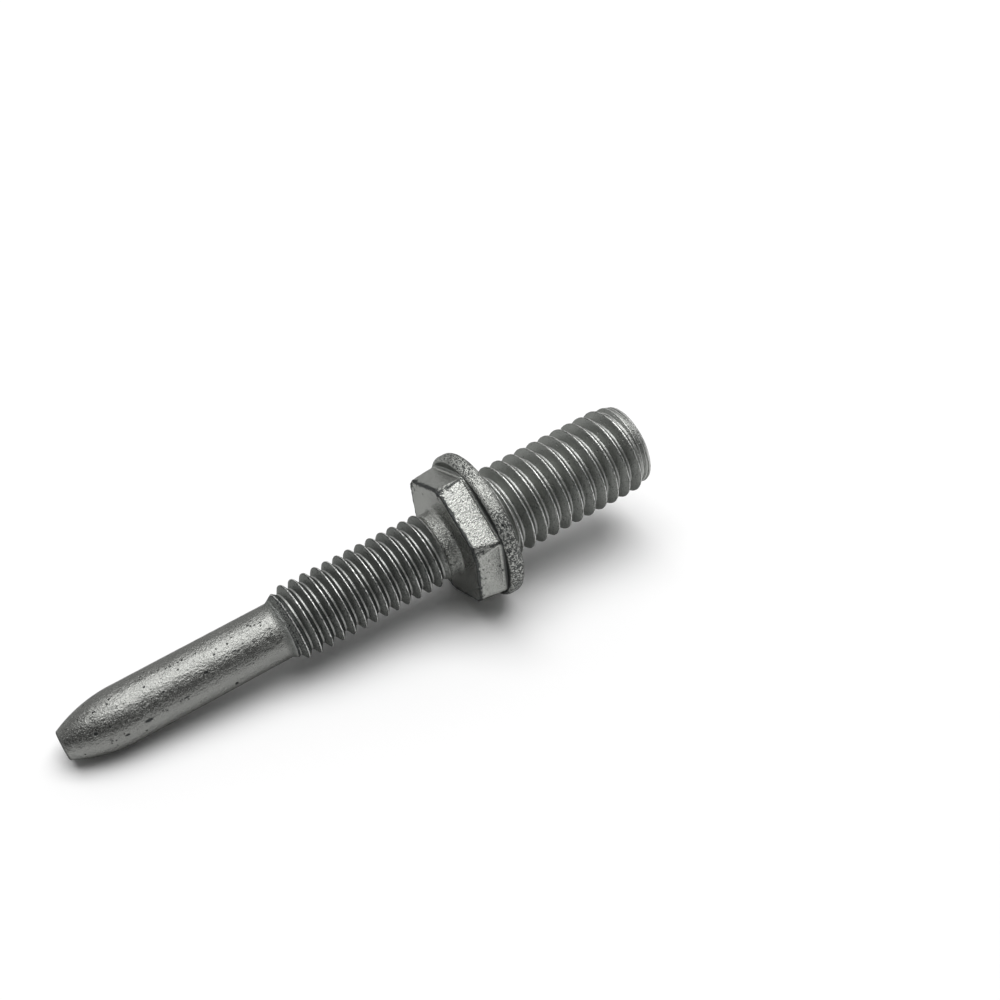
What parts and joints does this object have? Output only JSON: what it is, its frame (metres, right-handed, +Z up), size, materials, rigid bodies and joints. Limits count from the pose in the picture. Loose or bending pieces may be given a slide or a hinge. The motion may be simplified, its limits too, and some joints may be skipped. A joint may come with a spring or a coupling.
{
  "type": "double-ended hex flange stud with pilot",
  "caption": "Steel stud with a smooth ogive-tipped pilot, a thin thread, a hexagon on a flange and a thick thread, lying on its side.",
  "frame": {"origin": "on the floor under the middle of the stud, which lies on its side as it comes to rest", "axes": "+X along the stud from the pilot's tip to the thick thread, level with the floor; +Z up"},
  "size_m": [0.0646, 0.0158, 0.0157],
  "materials": {
    "zinc_flake_steel": "matt grey zinc flake coating, fine-grained"
  },
  "bodies": {
    "root": {"flange_stud": "zinc_flake_steel"}
  },
  "joints": []
}
